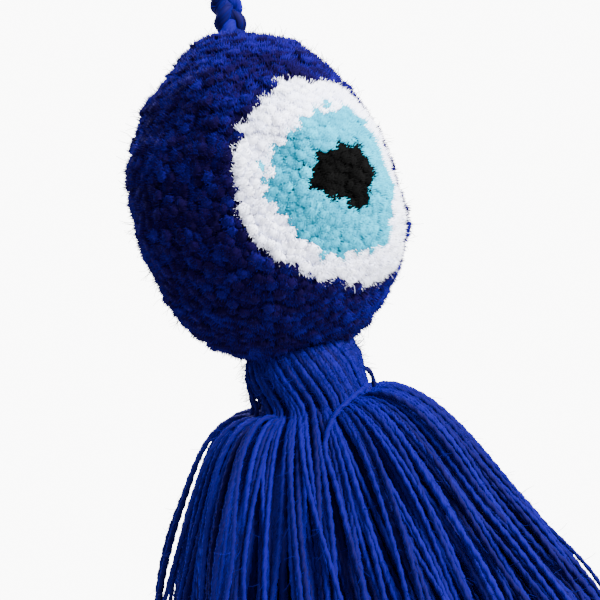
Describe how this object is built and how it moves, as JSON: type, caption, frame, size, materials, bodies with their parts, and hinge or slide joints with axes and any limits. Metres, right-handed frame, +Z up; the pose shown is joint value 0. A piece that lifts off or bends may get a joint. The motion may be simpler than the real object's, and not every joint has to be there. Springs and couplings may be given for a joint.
{
  "type": "evil eye ornament",
  "caption": "Hanging yarn ornament: a clipped pompom with a wound eye motif on a plaited cord with a loop, and a full tassel tied below it.",
  "frame": {"origin": "inside top of the hanging loop, where the nail or hook bears", "axes": "+Z up along the hanging cord, the eye faces -Y"},
  "size_m": [0.113, 0.113, 0.3131],
  "materials": {
    "cord_yarn": "matte fuzzy spun yarn, plaited",
    "binding_thread": "matte strong thread",
    "navy_pile": "matte velvety clipped yarn ends",
    "white_pile": "matte velvety clipped yarn ends",
    "turquoise_pile": "matte velvety clipped yarn ends",
    "black_pile": "matte velvety clipped yarn ends",
    "tassel_yarn": "soft twisted yarn with a slight sheen",
    "tie_yarn": "soft twisted yarn, wound tight"
  },
  "bodies": {
    "loop": {"hanging_loop": "cord_yarn"},
    "cord": {"loop_knot": "cord_yarn", "braid": "cord_yarn"},
    "cord_end": {"braid_tail": "cord_yarn"},
    "pompom": {"pile_back": "navy_pile", "pile_front": "navy_pile", "pile_white": "white_pile", "pile_turquoise": "turquoise_pile", "pile_black": "black_pile", "yarn_waist": "navy_pile", "binding_thread": "binding_thread", "upper_cord": "cord_yarn", "lower_cord": "cord_yarn"},
    "head": {"tassel_head": "tassel_yarn", "tassel_hanger": "cord_yarn", "neck_tie": "tie_yarn", "neck_tie_knot": "tie_yarn", "neck_tie_loop": "tie_yarn"},
    "skirt": {"skirt_lock_outer_1": "tassel_yarn", "skirt_lock_outer_2": "tassel_yarn", "skirt_lock_outer_3": "tassel_yarn", "skirt_lock_outer_4": "tassel_yarn", "skirt_lock_outer_5": "tassel_yarn", "skirt_lock_outer_6": "tassel_yarn", "skirt_lock_outer_7": "tassel_yarn", "skirt_lock_outer_8": "tassel_yarn", "skirt_lock_outer_9": "tassel_yarn", "skirt_lock_outer_10": "tassel_yarn", "skirt_lock_outer_11": "tassel_yarn", "skirt_lock_outer_12": "tassel_yarn", "skirt_lock_outer_13": "tassel_yarn", "skirt_lock_outer_14": "tassel_yarn", "skirt_lock_outer_15": "tassel_yarn", "skirt_lock_outer_16": "tassel_yarn", "skirt_lock_inner_1": "tassel_yarn", "skirt_lock_inner_2": "tassel_yarn", "skirt_lock_inner_3": "tassel_yarn", "skirt_lock_inner_4": "tassel_yarn", "skirt_lock_inner_5": "tassel_yarn", "skirt_lock_inner_6": "tassel_yarn", "skirt_lock_inner_7": "tassel_yarn", "skirt_lock_inner_8": "tassel_yarn", "skirt_core": "tassel_yarn"}
  },
  "joints": [
    {"name": "cord_swing_side", "type": "hinge", "parent": "loop", "child": "cord", "pos_m": [0, 0, -0.032], "axis": [0, 1, 0], "range_deg": [-30, 30]},
    {"name": "cord_twist", "type": "hinge", "parent": "cord", "child": "cord_end", "pos_m": [0, 0, -0.0965], "axis": [0, 0, 1], "range_deg": [-90, 90]},
    {"name": "pompom_swing_front", "type": "hinge", "parent": "cord_end", "child": "pompom", "pos_m": [0, 0, -0.102], "axis": [1, 0, 0], "range_deg": [-25, 25]},
    {"name": "tassel_swing_side", "type": "hinge", "parent": "pompom", "child": "head", "pos_m": [0, 0, -0.18], "axis": [0, 1, 0], "range_deg": [-15, 15]},
    {"name": "skirt_swing_front", "type": "hinge", "parent": "head", "child": "skirt", "pos_m": [0, 0, -0.1923], "axis": [1, 0, 0], "range_deg": [-10, 10]}
  ]
}
